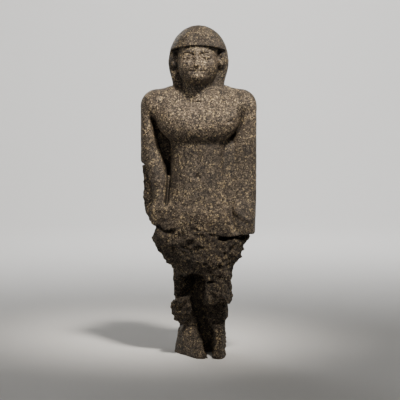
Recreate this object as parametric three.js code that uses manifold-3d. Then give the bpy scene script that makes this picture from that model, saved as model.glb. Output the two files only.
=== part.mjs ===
// An Egyptian noble, carved from one block of dark speckled stone: a man who stands with his arms
// at his sides, in a round wig that leaves the ears free, against a plain back pillar. The hands, the
// kilt and the legs are broken, and the break below them is flat, so the figure stands on it.
//
// +X is the figure's left, -Y is in front of it and +Z is up. The origin is the middle of the underside.

import * as THREE from "three";
import { mergeVertices } from "three/addons/utils/BufferGeometryUtils.js";
import Module from "manifold-3d";

// Sizes in millimetres
const PRESERVED_HEIGHT = 1000; // underside to the crown of the wig
const PILLAR_WIDTH = 124;
const PILLAR_HEIGHT = 846; // underside to the pillar's top
const PILLAR_BACK = 104; // middle of the body to the pillar's back
const PILLAR_EDGE_RADIUS = 5;

// The carver's grid: the figure's proportions are all in its squares, counted up from the underside
const CHIN = 13.98;
const FACE_HEIGHT = 1.76; // chin to the wig's fringe
const CROWN_HEIGHT = 1.11; // fringe to the crown
const FRINGE = CHIN + FACE_HEIGHT;
const SQUARES_HIGH = FRINGE + CROWN_HEIGHT;
const SQUARE = PRESERVED_HEIGHT / SQUARES_HIGH;

// Where the body's own forms end, in squares
const UNDERGROUND = 0.5; // how far the stone goes on below the cut of its underside
const TRUNK_BREAK = 4.2;
const TRUNK_TOP = 13.7;
const ARM_TOP = 12.9;

// How finely the stone is cut into faces
const CELL = 0.1; // squares
const TRIANGLES = 8400;
const FACE_WORTH = 8; // how much finer the faces are on the face than elsewhere
const JUST_INSIDE = -1e-3;

// Joins of distances, all in squares. A softness is how wide the rounding is.

function join(a, b, softness) {
  const h = Math.max(softness - Math.abs(a - b), 0) / softness;
  return Math.min(a, b) - (h * h * softness) / 4;
}

const keepBoth = (a, b, softness) => -join(-a, -b, softness);

const mix = (a, b, t) => a + (b - a) * t;

function ramp(from, to, value) {
  const t = Math.min(Math.max((value - from) / (to - from), 0), 1);
  return t * t * (3 - 2 * t);
}

// A smooth curve by height through [height, value] pairs, which never overshoots them.
function profile(...pairs) {
  const n = pairs.length;
  const slope = pairs.slice(1).map(([z, value], i) => (value - pairs[i][1]) / (z - pairs[i][0]));
  const tangent = [slope[0]];
  for (let i = 1; i < n - 1; i++) {
    const a = slope[i - 1];
    const b = slope[i];
    tangent.push(a * b <= 0 ? 0 : (2 * a * b) / (a + b));
  }
  tangent.push(slope[n - 2]);
  return (z) => {
    if (z <= pairs[0][0]) return pairs[0][1];
    if (z >= pairs[n - 1][0]) return pairs[n - 1][1];
    let i = 0;
    while (z > pairs[i + 1][0]) i++;
    const span = pairs[i + 1][0] - pairs[i][0];
    const t = (z - pairs[i][0]) / span;
    const bend = t * (1 - t) * span;
    return (
      mix(pairs[i][1], pairs[i + 1][1], t * t * (3 - 2 * t)) +
      bend * ((1 - t) * tangent[i] - t * tangent[i + 1])
    );
  };
}

// Distances to plain forms

// Inside a rounded oblong section from left to right and from front to back; squareness 2 is an ellipse.
function section(x, y, left, right, front, back, squareness) {
  const dx = Math.abs(x - (left + right) / 2);
  const dy = Math.abs(y - (back - front) / 2);
  const wide = ((2 * dx) / (right - left)) ** squareness;
  const deep = ((2 * dy) / (front + back)) ** squareness;
  const reach = (wide + deep) ** (1 / squareness);
  const out = Math.hypot(dx, dy);
  return reach < 1e-3 ? -Math.min(right - left, front + back) / 2 : out - out / reach;
}

function egg(x, y, z, centre, radii) {
  const px = (x - centre[0]) / radii[0];
  const py = (y - centre[1]) / radii[1];
  const pz = (z - centre[2]) / radii[2];
  const reach = Math.hypot(px, py, pz);
  return (reach * (reach - 1)) / Math.max(Math.hypot(px / radii[0], py / radii[1], pz / radii[2]), 1e-6);
}

// A limb between two points, with a radius at each.
function limb(x, y, z, start, end, startRadius, endRadius) {
  const ax = end[0] - start[0];
  const ay = end[1] - start[1];
  const az = end[2] - start[2];
  const px = x - start[0];
  const py = y - start[1];
  const pz = z - start[2];
  const t = Math.min(Math.max((px * ax + py * ay + pz * az) / (ax * ax + ay * ay + az * az), 0), 1);
  return Math.hypot(px - ax * t, py - ay * t, pz - az * t) - mix(startRadius, endRadius, t);
}

function block(x, y, z, low, high, radius) {
  const reach = [x, y, z].map(
    (p, i) => Math.abs(p - (low[i] + high[i]) / 2) - (high[i] - low[i]) / 2 + radius,
  );
  const outside = Math.hypot(...reach.map((r) => Math.max(r, 0)));
  return outside + Math.min(Math.max(...reach), 0) - radius;
}

// Lumps of a broken surface: smooth random values on a lattice, from -1 to 1.

function lattice(i, j, k) {
  const s = Math.sin(i * 127.1 + j * 311.7 + k * 74.7) * 43758.5453;
  return 2 * (s - Math.floor(s)) - 1;
}

function lumps(x, y, z) {
  const i = Math.floor(x);
  const j = Math.floor(y);
  const k = Math.floor(z);
  const u = ramp(0, 1, x - i);
  const v = ramp(0, 1, y - j);
  const w = ramp(0, 1, z - k);
  const edge = (b, c) => mix(lattice(i, j + b, k + c), lattice(i + 1, j + b, k + c), u);
  return mix(mix(edge(0, 0), edge(1, 0), v), mix(edge(0, 1), edge(1, 1), v), w);
}

// How far a broken surface stands back from its plain form: lumps, and crests between hollows.
function fracture(x, y, z) {
  const large = 0.15 * lumps(1.7 * x, 1.7 * y, 1.7 * z) + 0.08 * lumps(3.6 * x, 3.6 * y, 3.6 * z + 9);
  const crests = 0.12 * Math.abs(lumps(2.6 * x + 7, 2.6 * y, 3.4 * z)) - 0.05;
  return large + crests;
}

// The trunk: half width, front and back by height

const trunkHalf = profile(
  [4.5, 1.0], [5.2, 1.5], [6.0, 1.72], [7.0, 1.74], [8.0, 1.62], [8.8, 1.52], [9.6, 1.45], [10.4, 1.41],
  [10.9, 1.45], [11.2, 1.62], [11.6, 1.9], [12.1, 2.2], [12.7, 2.3], [13.2, 2.1], [13.7, 1.5],
);
const trunkFront = profile(
  [4.5, 1.0], [6.0, 1.12], [7.0, 1.1], [8.0, 1.0], [9.0, 0.95], [10.0, 0.93], [10.85, 0.95],
  [11.03, 1.06], [11.25, 1.2], [11.6, 1.27], [12.2, 1.17], [12.8, 0.97], [13.3, 0.79], [13.7, 0.62],
);
const trunkBack = profile(
  [4.5, 0.8], [6.0, 1.1], [7.0, 1.15], [8.0, 0.95], [9.0, 0.78], [10.0, 0.74], [11.0, 0.86],
  [12.0, 1.0], [13.0, 0.85], [13.7, 0.6],
);

function trunk(x, y, z) {
  const half = trunkHalf(z);
  let d = section(x, y, -half, half, trunkFront(z), trunkBack(z), 2.5);
  d = keepBoth(d, z - TRUNK_TOP, 0.3);
  const chest = egg(Math.abs(x), y, z, [0.84, -0.36, 11.98], [1.26, 0.9, 0.98]);
  d = join(d, keepBoth(chest, 11.04 + 0.06 * Math.abs(x) - z, 0.12), 0.2);
  const inFront = ramp(0, -0.6, y);
  const midline = Math.exp(-((x / 0.14) ** 2)) * ramp(9.4, 10.0, z) * ramp(11.0, 10.6, z);
  const navel = Math.exp(-((x / 0.11) ** 2) - ((z - 9.15) / 0.13) ** 2);
  return d + inFront * (0.035 * midline + 0.1 * navel);
}

function shoulders(x, y, z) {
  const yoke = limb(Math.abs(x), y, z, [0, 0.12, 13.36], [2.15, 0.02, 12.95], 0.62, 0.64);
  const ball = egg(Math.abs(x), y, z, [2.3, 0, 12.78], [0.67, 0.7, 0.7]);
  return join(yoke, ball, 0.2);
}

// The figure's right arm hangs clear of the waist; its elbow is chipped and its forearm and fist are worn.
// The underside of the fist is broken off at a slant.

const rightArmInner = profile(
  [9.2, -1.52], [9.7, -1.72], [10.1, -1.88], [10.5, -2.02], [11.35, -2.2], [12.06, -2.34],
  [12.6, -2.1], [13.0, -1.9],
);

function rightArm(x, y, z) {
  let upper = section(x, y, -2.97, rightArmInner(z), 0.56, 0.54, 2.3);
  const elbowBreak = 9.62 + 0.35 * (-2.3 - x) - z;
  upper = keepBoth(keepBoth(upper, z - ARM_TOP, 0.4), elbowBreak, 0.15);
  const elbow = limb(x, y, z, [-2.36, -0.06, 10.2], [-1.96, -0.38, 8.9], 0.48, 0.44);
  const wrist = limb(x, y, z, [-1.96, -0.38, 8.9], [-1.93, -0.46, 7.6], 0.44, 0.4);
  const forearm = join(elbow, wrist, 0.1);
  const fist = block(x, y, z, [-2.46, -1.0, 6.55], [-1.44, 0.3, 7.75], 0.32);
  const fistBreak = 6.42 - (x + 1.95) - z;
  return join(join(upper, forearm, 0.12), keepBoth(fist, fistBreak, 0.08), 0.25);
}

// The stone left behind the forearm, where its outer side has broken away, down to a slanting edge
const stubOuter = profile([6.6, -2.5], [7.0, -2.7], [7.5, -2.78], [8.4, -2.8], [9.2, -2.88], [9.8, -2.94]);
const slant = (x, z) => 7.35 - 1.35 * (x + 2.75) - z;

function rightStub(x, y, z) {
  const front = mix(0.46, 0.3, ramp(8.2, 9.6, z));
  const d = section(x, y, stubOuter(z), -1.7, front, 0.52, 3);
  return keepBoth(keepBoth(d, z - 9.75, 0.1), slant(x, z), 0.08);
}

// The figure's left arm is a broad upright mass down to the broken fist.

const leftArmInner = profile(
  [6.3, 1.6], [7.5, 1.62], [10.5, 1.66], [11.3, 1.84], [12.0, 2.1], [12.8, 1.9],
);
const leftArmOuter = profile([6.3, 2.91], [7.4, 2.95], [8.6, 2.97], [12.6, 2.97]);
const leftArmFront = profile(
  [6.1, 1.0], [6.6, 1.04], [7.4, 0.92], [8.1, 0.68], [9.6, 0.57], [11, 0.57], [12.6, 0.6],
);

function leftArm(x, y, z) {
  const d = section(x, y, leftArmInner(z), leftArmOuter(z), leftArmFront(z), 0.54, 2.4);
  const thumb = limb(x, y, z, [1.98, -0.86, 7.42], [2.46, -0.94, 7.0], 0.14, 0.12);
  const fistBreak = 6.14 + 0.1 * (x - 1.2) + 0.08 * lumps(3 * x, 3 * y, 0.5) - z;
  return keepBoth(keepBoth(join(d, thumb, 0.12), z - ARM_TOP, 0.4), fistBreak, 0.06);
}

// The stone left standing between each arm and the body: deep on the right, nearly flush on the left.

const leftWebFront = profile(
  [6.4, 0.74], [8.0, 0.62], [9.3, 0.55], [10.2, 0.5], [10.75, 0.44], [11.1, 0.2], [11.5, -0.05],
);

function webs(x, y, z) {
  const right = block(x, y, z, [-2.7, 0.3, 6.6], [-0.8, 0.56, 12.4], 0.1);
  const left = section(x, y, 0.8, 2.6, leftWebFront(z), 0.56, 4);
  const leftEnds = keepBoth(keepBoth(left, z - 12.2, 0.2), 6.3 - z, 0.1);
  return join(keepBoth(right, slant(x, z), 0.08), leftEnds, 0.1);
}

// The broken kilt and hips: a rough mass that overhangs the legs, and comes forward over the left one,
// which is advanced

const hipsLeft = profile(
  [3.9, -0.95], [4.4, -1.12], [4.7, -1.38], [5.1, -1.76], [5.5, -2.02], [5.8, -2.26], [6.1, -2.38],
  [6.6, -2.2], [7.4, -1.7],
);
const hipsRight = profile(
  [3.9, 1.66], [4.4, 1.76], [4.7, 1.9], [5.1, 2.1], [5.4, 2.24], [5.9, 2.5], [6.12, 2.62],
  [6.6, 2.2], [7.4, 1.7],
);
const hipsFront = profile([3.9, 1.0], [4.5, 1.3], [5.2, 1.46], [6.2, 1.42], [7.2, 1.26], [8.0, 1.08]);

function hips(x, y, z) {
  const stride = 0.34 * ramp(-0.6, 0.9, x) * ramp(6.8, 4.6, z);
  const d = section(x, y, hipsLeft(z), hipsRight(z), hipsFront(z) + stride, 0.9, 2.1);
  const ledge = 4.32 - 0.3 * ramp(-0.2, 1.0, x) + 0.12 * lumps(3 * x, 3 * y, 5.5) - z;
  return keepBoth(keepBoth(d, z - 7.6, 0.3), ledge, 0.08);
}

// The right leg stands against the pillar. Its shin is broken back to a ragged stump, and its foot is
// worn to a wedge that slopes from the ankle to the big toe.

const FOOT_OUTER = [-1.12, 0.3];
const FOOT_TOE = [0.12, -1.62];
const FOOT_INNER = [0.02, 0.0];
const FOOT_BALL = [0.4, -1.4];

// How far a point in plan lies to the right of the way from one point to another.
function rightOf(x, y, from, to) {
  const run = Math.hypot(to[0] - from[0], to[1] - from[1]);
  return ((x - from[0]) * (to[1] - from[1]) - (y - from[1]) * (to[0] - from[0])) / run;
}

function rightFoot(x, y, z) {
  const outer = rightOf(x, y, FOOT_OUTER, FOOT_TOE) + 0.15 * (z - 0.75);
  const inner = -rightOf(x, y, FOOT_INNER, FOOT_BALL);
  const instep = (z - 0.3 + 0.78 * (FOOT_TOE[1] - y)) / Math.hypot(1, 0.78);
  const ends = Math.max(y - 0.5, FOOT_TOE[1] - y);
  return keepBoth(keepBoth(keepBoth(outer, inner, 0.25), instep, 0.3), ends, 0.2);
}

function rightLeg(x, y, z) {
  const thigh = limb(x, y, z, [-0.8, 0.4, 4.8], [-0.86, 0.3, 3.0], 0.58, 0.42);
  const stump = section(x, y, -1.38, -0.4, 0.9 + 0.3 * (z - 2.4), 0.4, 2.8);
  const ends = Math.abs(z - 2.3 - 0.4 * (x + 0.9)) - 0.62;
  const brokenSide = (2.1 - 2 * (x + 1.4) - z) / Math.sqrt(5);
  const shin = keepBoth(keepBoth(stump, ends, 0.2), brokenSide, 0.1);
  const ankle = limb(x, y, z, [-0.72, 0.1, 2.1], [-0.46, -0.1, 0.9], 0.42, 0.36);
  const leg = join(join(thigh, shin, 0.15), ankle, 0.2);
  const notch = egg(x, y, z, [-1.2, -0.2, 1.52], [0.46, 0.8, 0.26]);
  return keepBoth(join(leg, keepBoth(rightFoot(x, y, z), z - 1.5, 0.2), 0.15), -notch, 0.1);
}

// The left leg has lost its shin and foot: the knee juts over the ragged edge of the wall behind it.

const wallFront = profile(
  [-0.6, 1.6], [0.2, 1.5], [0.9, 1.3], [1.45, 1.0], [1.9, 0.55], [2.7, 0.45], [3.2, 0.7],
);
const wallInner = profile([-0.6, 0.74], [1.2, 0.86], [2.0, 0.52], [2.6, 0.5], [3.2, 0.62]);
const wallOuter = profile([-0.6, 1.36], [1.6, 1.36], [2.2, 1.5], [3.2, 1.4]);

function leftLeg(x, y, z) {
  const knee = keepBoth(section(x, y, 0.42, 1.64, 1.62, 0.6, 2.6), Math.abs(z - 3.9) - 1.08, 0.15);
  const wall = keepBoth(section(x, y, wallInner(z), wallOuter(z), wallFront(z), 0.9, 4), z - 3.4, 0.1);
  return join(knee, wall, 0.1);
}

// The stone between the legs and the pillar

const legWebOuter = profile(
  [0.0, -1.0], [0.6, -1.1], [1.1, -1.02], [1.55, -0.78], [2.2, -0.9], [4.0, -1.1],
);

function legWeb(x, y, z) {
  const d = section(x, y, legWebOuter(z), 1.3, -0.62, 1.0, 5);
  return keepBoth(d, z - 5.0, 0.1);
}

// The deep cuts below the two fists, where the rough stone begins, and the one above the knee
function undercuts(x, y, z) {
  const right = limb(x, y, z, [-2.85, -0.5, 6.95], [-1.35, -1.2, 6.3], 0.2, 0.12);
  const left = egg(x, y, z, [2.2, -1.05, 6.1], [1.05, 0.62, 0.14]);
  const aboveKnee = egg(x, y, z, [0.55, -1.5, 3.88], [0.55, 0.5, 0.16]);
  return Math.min(right, left, aboveKnee);
}

// The pillar's front, in the recess between the legs
const PILLAR_FRONT = 0.66;

function pillar(x, y, z) {
  const half = PILLAR_WIDTH / 2 / SQUARE;
  const low = [-half, PILLAR_FRONT, -UNDERGROUND - 0.1];
  const high = [half, PILLAR_BACK / SQUARE, PILLAR_HEIGHT / SQUARE];
  return block(x, y, z, low, high, PILLAR_EDGE_RADIUS / SQUARE);
}

// The wig: a round cap with a straight fringe, open in front below it, that hangs to the shoulders behind
// the ears. It is widest a little below the fringe.

const WIDEST = FRINGE - 0.66;
const WIG_END = 13.28;
const wigHalf = profile([13.4, 1.26], [13.8, 1.3], [14.3, 1.4], [14.7, 1.48], [15.1, 1.52]);

function wig(x, y, z) {
  const crown = egg(x, y, z, [0, 0.04, WIDEST], [1.52, 1.5, SQUARES_HIGH - WIDEST]);
  const half = wigHalf(z);
  const sides = section(x, y, -half, half, 1.4, 1.34, 2.2);
  const fall = keepBoth(sides, Math.max(z - WIDEST, WIG_END - z), 0.1);
  const edge = FRINGE - 0.12 * Math.min(Math.abs(x) / 1.1, 1.3) ** 2;
  const opening = keepBoth(z - edge, y + 0.42, 0.1);
  return keepBoth(join(crown, fall, 0.12), -opening, 0.06);
}

// The face: calm, even and worn, laid out from its own height between the fringe and the chin

const FACE_FRONT = -1.3;
const HEAD_TILT = 0.09; // how far the chin comes forward, for each square below the eyes
const faceLevel = (share) => CHIN + share * FACE_HEIGHT;

function face(x, plainY, z) {
  const side = Math.abs(x);
  const y = plainY + HEAD_TILT * (faceLevel(0.8) - z);
  const skull = egg(x, y, z, [0, -0.28, faceLevel(0.72)], [1.05, 1.06, 1.5]);
  const jaw = egg(x, y, z, [0, -0.46, faceLevel(0.33)], [0.84, 0.88, 0.74]);
  const chin = egg(x, y, z, [0, -1.06, faceLevel(0.12)], [0.38, 0.32, 0.24]);
  const cheek = egg(side, y, z, [0.5, -0.86, faceLevel(0.46)], [0.36, 0.34, 0.36]);
  let d = join(join(join(skull, jaw, 0.4), chin, 0.25), cheek, 0.3);
  const socket = egg(side, y, z, [0.42, FACE_FRONT - 0.06, faceLevel(0.69)], [0.36, 0.16, 0.18]);
  d = keepBoth(d, -socket, 0.2);
  const eye = egg(side, y, z, [0.42, FACE_FRONT + 0.2, faceLevel(0.68)], [0.26, 0.17, 0.1]);
  const browStart = [0.2, FACE_FRONT + 0.08, faceLevel(0.82)];
  const browEnd = [0.62, FACE_FRONT + 0.22, faceLevel(0.81)];
  const brow = limb(side, y, z, browStart, browEnd, 0.08, 0.06);
  const noseTop = [0, FACE_FRONT + 0.06, faceLevel(0.8)];
  const noseTip = [0, FACE_FRONT - 0.1, faceLevel(0.46)];
  const bridge = limb(x, y, z, noseTop, noseTip, 0.11, 0.15);
  const nostril = egg(side, y, z, [0.14, FACE_FRONT, faceLevel(0.43)], [0.12, 0.15, 0.09]);
  d = join(d, join(join(eye, brow, 0.08), join(bridge, nostril, 0.08), 0.05), 0.08);
  const upperLip = egg(x, y, z, [0, FACE_FRONT + 0.14, faceLevel(0.3)], [0.32, 0.19, 0.08]);
  const lowerLip = egg(x, y, z, [0, FACE_FRONT + 0.16, faceLevel(0.22)], [0.28, 0.18, 0.08]);
  return join(d, join(upperLip, lowerLip, 0.03), 0.07);
}

function ears(x, y, z) {
  const side = Math.abs(x);
  const shell = egg(side, y, z, [1.17, -0.42, faceLevel(0.6)], [0.27, 0.2, 0.42]);
  const hollow = egg(side, y, z, [1.2, -0.64, faceLevel(0.63)], [0.13, 0.12, 0.22]);
  return keepBoth(shell, -hollow, 0.06);
}

function head(x, y, z) {
  const neck = limb(x, y, z, [0, 0.02, 12.9], [0, -0.08, faceLevel(0.35)], 0.98, 0.8);
  const flesh = join(join(face(x, y, z), neck, 0.12), ears(x, y, z), 0.06);
  return join(flesh, wig(x, y, z), 0.03);
}

// How broken the surface is, from 0 on the skin to 1 on the fractures; the pillar's sides stay sound
function damage(x, y, z) {
  const byHeight = 0.12 * ramp(10.2, 8.6, z) + 0.28 * ramp(8.2, 6.9, z) + 0.6 * ramp(6.9, 6.0, z);
  const soundArm = 1 - ramp(1.5, 2.0, x) * ramp(6.05, 6.35, z);
  const soundFoot = 1 - 0.7 * ramp(1.75, 1.3, z) * ramp(0.6, 0.3, x);
  const brokenForearm = 0.6 * ramp(-2.35, -2.55, x) * ramp(9.9, 9.5, z);
  const hidden = ramp(0.6, -0.3, y);
  return Math.max(byHeight * soundArm * soundFoot, brokenForearm) * hidden;
}

// The distance to the surface of the whole stone, less than 0 inside it
function stone(x, y, z) {
  let d = 1e3;
  if (z > 13) d = head(x, y, z);
  d = join(d, join(trunk(x, y, z), shoulders(x, y, z), 0.3), 0.08);
  if (z > 5.5 && z < 13.6) {
    d = join(d, rightArm(x, y, z), mix(0.3, 0.08, ramp(8.8, 9.6, z)));
    d = join(d, leftArm(x, y, z), 0.1);
    d = join(d, join(rightStub(x, y, z), webs(x, y, z), 0.1), 0.06);
  }
  if (z < 8) {
    const cut = keepBoth(d, TRUNK_BREAK - z, 0.1);
    d = join(cut, hips(x, y, z), 0.15);
    d = join(d, join(rightLeg(x, y, z), leftLeg(x, y, z), 0.1), 0.12);
    d = join(d, legWeb(x, y, z), 0.1);
    d = keepBoth(d, -undercuts(x, y, z), 0.06);
  }
  d = join(d, pillar(x, y, z), 0.06);
  const broken = damage(x, y, z);
  if (broken > 0.01 && Math.abs(d) < 0.8) d += broken * fracture(x, y, z);
  return Math.max(d, -UNDERGROUND - z);
}

// Whether a set of a cell's corners, given as bits, hangs together along the cell's edges.
function hangsTogether(set) {
  let reached = set & -set;
  for (let step = 0; step < 7; step++)
    for (let m = 0; m < 8; m++)
      if (reached & (1 << m)) for (const bit of [1, 2, 4]) reached |= set & (1 << (m ^ bit));
  return reached === set;
}

// Fills the nearest outside corner of each cell in which the surface would pinch or touch itself.
function fillPinches(values, offsets, size, index) {
  const sound = Array.from({ length: 256 }, (_, set) => hangsTogether(set) && hangsTogether(255 - set));
  let pinched = true;
  while (pinched) {
    pinched = false;
    for (let k = 0; k < size[2] - 1; k++)
      for (let j = 0; j < size[1] - 1; j++)
        for (let i = 0; i < size[0] - 1; i++) {
          const here = index(i, j, k);
          let set = 0;
          for (let m = 0; m < 8; m++) if (values[here + offsets[m]] < 0) set |= 1 << m;
          if (sound[set]) continue;
          const outside = offsets.filter((offset) => values[here + offset] >= 0);
          const nearest = outside.reduce((a, b) => (values[here + a] <= values[here + b] ? a : b));
          values[here + nearest] = JUST_INSIDE;
          pinched = true;
        }
  }
}

// Fills the small hollows that the lumps leave sealed inside the stone, which no way in from a corner of
// the lattice reaches. The lattice's outermost points are all outside the stone.
function fillHollows(values, stride) {
  const reached = new Uint8Array(values.length);
  const waiting = [0];
  while (waiting.length) {
    const here = waiting.pop();
    for (const step of stride.flatMap((s) => [-s, s])) {
      const next = here + step;
      if (!(values[next] >= 0) || reached[next]) continue;
      reached[next] = 1;
      waiting.push(next);
    }
  }
  for (let p = 0; p < values.length; p++) if (values[p] >= 0 && !reached[p]) values[p] = JUST_INSIDE;
}

// The stone's surface as a mesh of points and triangles: one point in each cell that the surface passes
// through, at the middle of its crossings, and a quad round each lattice edge that it crosses.
function surface(distance, low, high, cell) {
  const size = low.map((l, i) => Math.ceil((high[i] - l) / cell) + 1);
  const values = new Float64Array(size[0] * size[1] * size[2]);
  const stride = [1, size[0], size[0] * size[1]];
  const index = (i, j, k) => i + j * stride[1] + k * stride[2];
  for (let k = 0; k < size[2]; k++)
    for (let j = 0; j < size[1]; j++)
      for (let i = 0; i < size[0]; i++)
        values[index(i, j, k)] = distance(low[0] + i * cell, low[1] + j * cell, low[2] + k * cell);

  const corners = [0, 1, 2, 3, 4, 5, 6, 7].map((c) => [c & 1, (c >> 1) & 1, c >> 2]);
  const edges = corners.flatMap((a, m) => [1, 2, 4].filter((bit) => !(m & bit)).map((bit) => [m, m | bit]));
  const offsets = corners.map(([a, b, c]) => index(a, b, c));
  fillPinches(values, offsets, size, index);
  fillHollows(values, stride);
  const pointOf = new Int32Array(values.length).fill(-1);
  const points = [];
  for (let k = 0; k < size[2] - 1; k++)
    for (let j = 0; j < size[1] - 1; j++)
      for (let i = 0; i < size[0] - 1; i++) {
        const at = corners.map(([a, b, c]) => values[index(i + a, j + b, k + c)]);
        const sum = [0, 0, 0];
        let crossings = 0;
        for (const [m, n] of edges) {
          if (at[m] < 0 === at[n] < 0) continue;
          const t = at[m] / (at[m] - at[n]);
          for (let a = 0; a < 3; a++) sum[a] += mix(corners[m][a], corners[n][a], t);
          crossings++;
        }
        if (!crossings) continue;
        pointOf[index(i, j, k)] = points.length;
        points.push([i, j, k].map((p, a) => low[a] + (p + sum[a] / crossings) * cell));
      }

  const triangles = [];
  for (let k = 1; k < size[2] - 1; k++)
    for (let j = 1; j < size[1] - 1; j++)
      for (let i = 1; i < size[0] - 1; i++) {
        const here = index(i, j, k);
        for (let a = 0; a < 3; a++) {
          const inside = values[here] < 0;
          if (inside === values[here + stride[a]] < 0) continue;
          const u = stride[(a + 1) % 3];
          const v = stride[(a + 2) % 3];
          const quad = [here, here - u, here - u - v, here - v].map((cellIndex) => pointOf[cellIndex]);
          if (!inside) quad.reverse();
          triangles.push([quad[0], quad[1], quad[2]], [quad[0], quad[2], quad[3]]);
        }
      }
  return { points, triangles };
}

// Fewer triangles for the same form: edges whose loss moves the surface least are closed up first. Each
// point carries the sum of squared distances to its planes (a, b, c, d) as the ten numbers of a symmetric
// matrix. What a change costs is multiplied by the worth of the place.
function simplify({ points, triangles }, count, worth) {
  const position = points.map((p) => [...p]);
  const faces = triangles.map((t) => [...t]);
  const facesOf = position.map(() => new Set());
  const plane = ([i, j, k]) => {
    const a = new THREE.Vector3(...position[i]);
    const n = new THREE.Vector3(...position[j]).sub(a).cross(new THREE.Vector3(...position[k]).sub(a));
    const twiceArea = n.length();
    n.divideScalar(twiceArea || 1);
    return { n, d: -n.dot(a), area: twiceArea / 2 };
  };
  const quadric = position.map(() => new Float64Array(10));
  faces.forEach((face, f) => {
    const { n, d, area } = plane(face);
    const v = [n.x, n.y, n.z, d];
    const weight = area * worth(position[face[0]]);
    for (const p of face) {
      facesOf[p].add(f);
      let at = 0;
      for (let r = 0; r < 4; r++) for (let c = r; c < 4; c++) quadric[p][at++] += v[r] * v[c] * weight;
    }
  });
  const error = (q, [x, y, z]) =>
    q[0] * x * x + 2 * q[1] * x * y + 2 * q[2] * x * z + 2 * q[3] * x + q[4] * y * y +
    2 * q[5] * y * z + 2 * q[6] * y + q[7] * z * z + 2 * q[8] * z + q[9];
  const best = (a, b) => {
    const q = quadric[a].map((value, i) => value + quadric[b][i]);
    const middle = position[a].map((value, i) => (value + position[b][i]) / 2);
    const matrix = new THREE.Matrix3().set(q[0], q[1], q[2], q[1], q[4], q[5], q[2], q[5], q[7]);
    const trace = q[0] + q[4] + q[7];
    const places = [position[a], position[b], middle];
    if (Math.abs(matrix.determinant()) > 1e-4 * trace ** 3) {
      const solved = new THREE.Vector3(-q[3], -q[6], -q[8]).applyMatrix3(matrix.invert()).toArray();
      const reach = Math.hypot(...position[a].map((value, i) => value - position[b][i]));
      if (Math.hypot(...solved.map((value, i) => value - middle[i])) < 2 * reach) places.push(solved);
    }
    const costs = places.map((p) => error(q, p));
    const least = costs.indexOf(Math.min(...costs));
    return { q, place: places[least], cost: costs[least] };
  };

  const version = new Int32Array(position.length);
  const heap = [];
  const before = (a, b) => a.cost < b.cost;
  const push = (item) => {
    heap.push(item);
    for (let i = heap.length - 1; i > 0; ) {
      const up = (i - 1) >> 1;
      if (!before(heap[i], heap[up])) break;
      [heap[i], heap[up]] = [heap[up], heap[i]];
      i = up;
    }
  };
  const pop = () => {
    const top = heap[0];
    const last = heap.pop();
    if (heap.length) {
      heap[0] = last;
      for (let i = 0; ; ) {
        let least = i;
        for (const down of [2 * i + 1, 2 * i + 2]) {
          if (down < heap.length && before(heap[down], heap[least])) least = down;
        }
        if (least === i) break;
        [heap[i], heap[least]] = [heap[least], heap[i]];
        i = least;
      }
    }
    return top;
  };
  const offer = (a, b) => push({ a, b, va: version[a], vb: version[b], ...best(a, b) });
  const around = (p) => new Set([...facesOf[p]].flatMap((f) => faces[f]).filter((q) => q !== p));
  faces.forEach(([i, j, k]) => {
    for (const [a, b] of [[i, j], [j, k], [k, i]]) if (a < b) offer(a, b);
  });

  // A face that stays may not turn over or become a needle when one of its points moves.
  const turnsOver = (p, gone, place) =>
    [...facesOf[p]].some((f) => {
      if (faces[f].includes(gone)) return false;
      const old = plane(faces[f]);
      const kept = position[p];
      position[p] = place;
      const moved = plane(faces[f]);
      const corners = faces[f].map((a) => new THREE.Vector3(...position[a]));
      const sides = corners.map((corner, i) => corner.distanceTo(corners[(i + 1) % 3]));
      position[p] = kept;
      return old.n.dot(moved.n) < 0.25 || moved.area < 0.03 * Math.max(...sides) ** 2;
    });

  let left = faces.length;
  while (left > count && heap.length) {
    const { a, b, va, vb, q, place } = pop();
    if (version[a] !== va || version[b] !== vb || version[a] < 0 || version[b] < 0) continue;
    const ringB = around(b);
    if ([...around(a)].filter((p) => ringB.has(p)).length !== 2) continue;
    if (turnsOver(a, b, place) || turnsOver(b, a, place)) continue;
    position[a] = place;
    quadric[a] = q;
    for (const f of facesOf[b]) {
      if (faces[f].includes(a)) {
        for (const p of faces[f]) if (p !== b) facesOf[p].delete(f);
        faces[f] = null;
        left--;
      } else {
        faces[f] = faces[f].map((p) => (p === b ? a : p));
        facesOf[a].add(f);
      }
    }
    version[b] = -1;
    version[a]++;
    for (const p of around(a)) offer(a, p);
  }
  return { points: position, triangles: faces.filter(Boolean) };
}

// Joins and cuts

const wasm = await Module();
wasm.setup();

function solidOf(geometry) {
  const bare = geometry.clone();
  bare.deleteAttribute("normal");
  bare.deleteAttribute("uv");
  const merged = mergeVertices(bare, 1e-4);
  return new wasm.Manifold(
    new wasm.Mesh({
      numProp: 3,
      vertProperties: new Float32Array(merged.attributes.position.array),
      triVerts: new Uint32Array(merged.index.array),
    }),
  );
}

function geometryOf(solid) {
  const mesh = solid.getMesh();
  return new THREE.BufferGeometry()
    .setAttribute("position", new THREE.BufferAttribute(mesh.vertProperties, 3))
    .setIndex(new THREE.BufferAttribute(mesh.triVerts, 1));
}

function carvedStone() {
  const margin = 0.3;
  const low = [-3 - margin, -2 - margin, -UNDERGROUND - margin];
  const high = [3 + margin, PILLAR_BACK / SQUARE + margin, SQUARES_HIGH + margin];
  const { points, triangles } = simplify(
    surface(stone, low, high, CELL),
    TRIANGLES,
    ([, y, z]) => (z > CHIN - 0.2 && y < 0 ? FACE_WORTH : 1),
  );
  return new THREE.BufferGeometry()
    .setAttribute("position", new THREE.Float32BufferAttribute(points.flat(), 3))
    .setIndex(triangles.flat())
    .scale(SQUARE, SQUARE, SQUARE);
}

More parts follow.
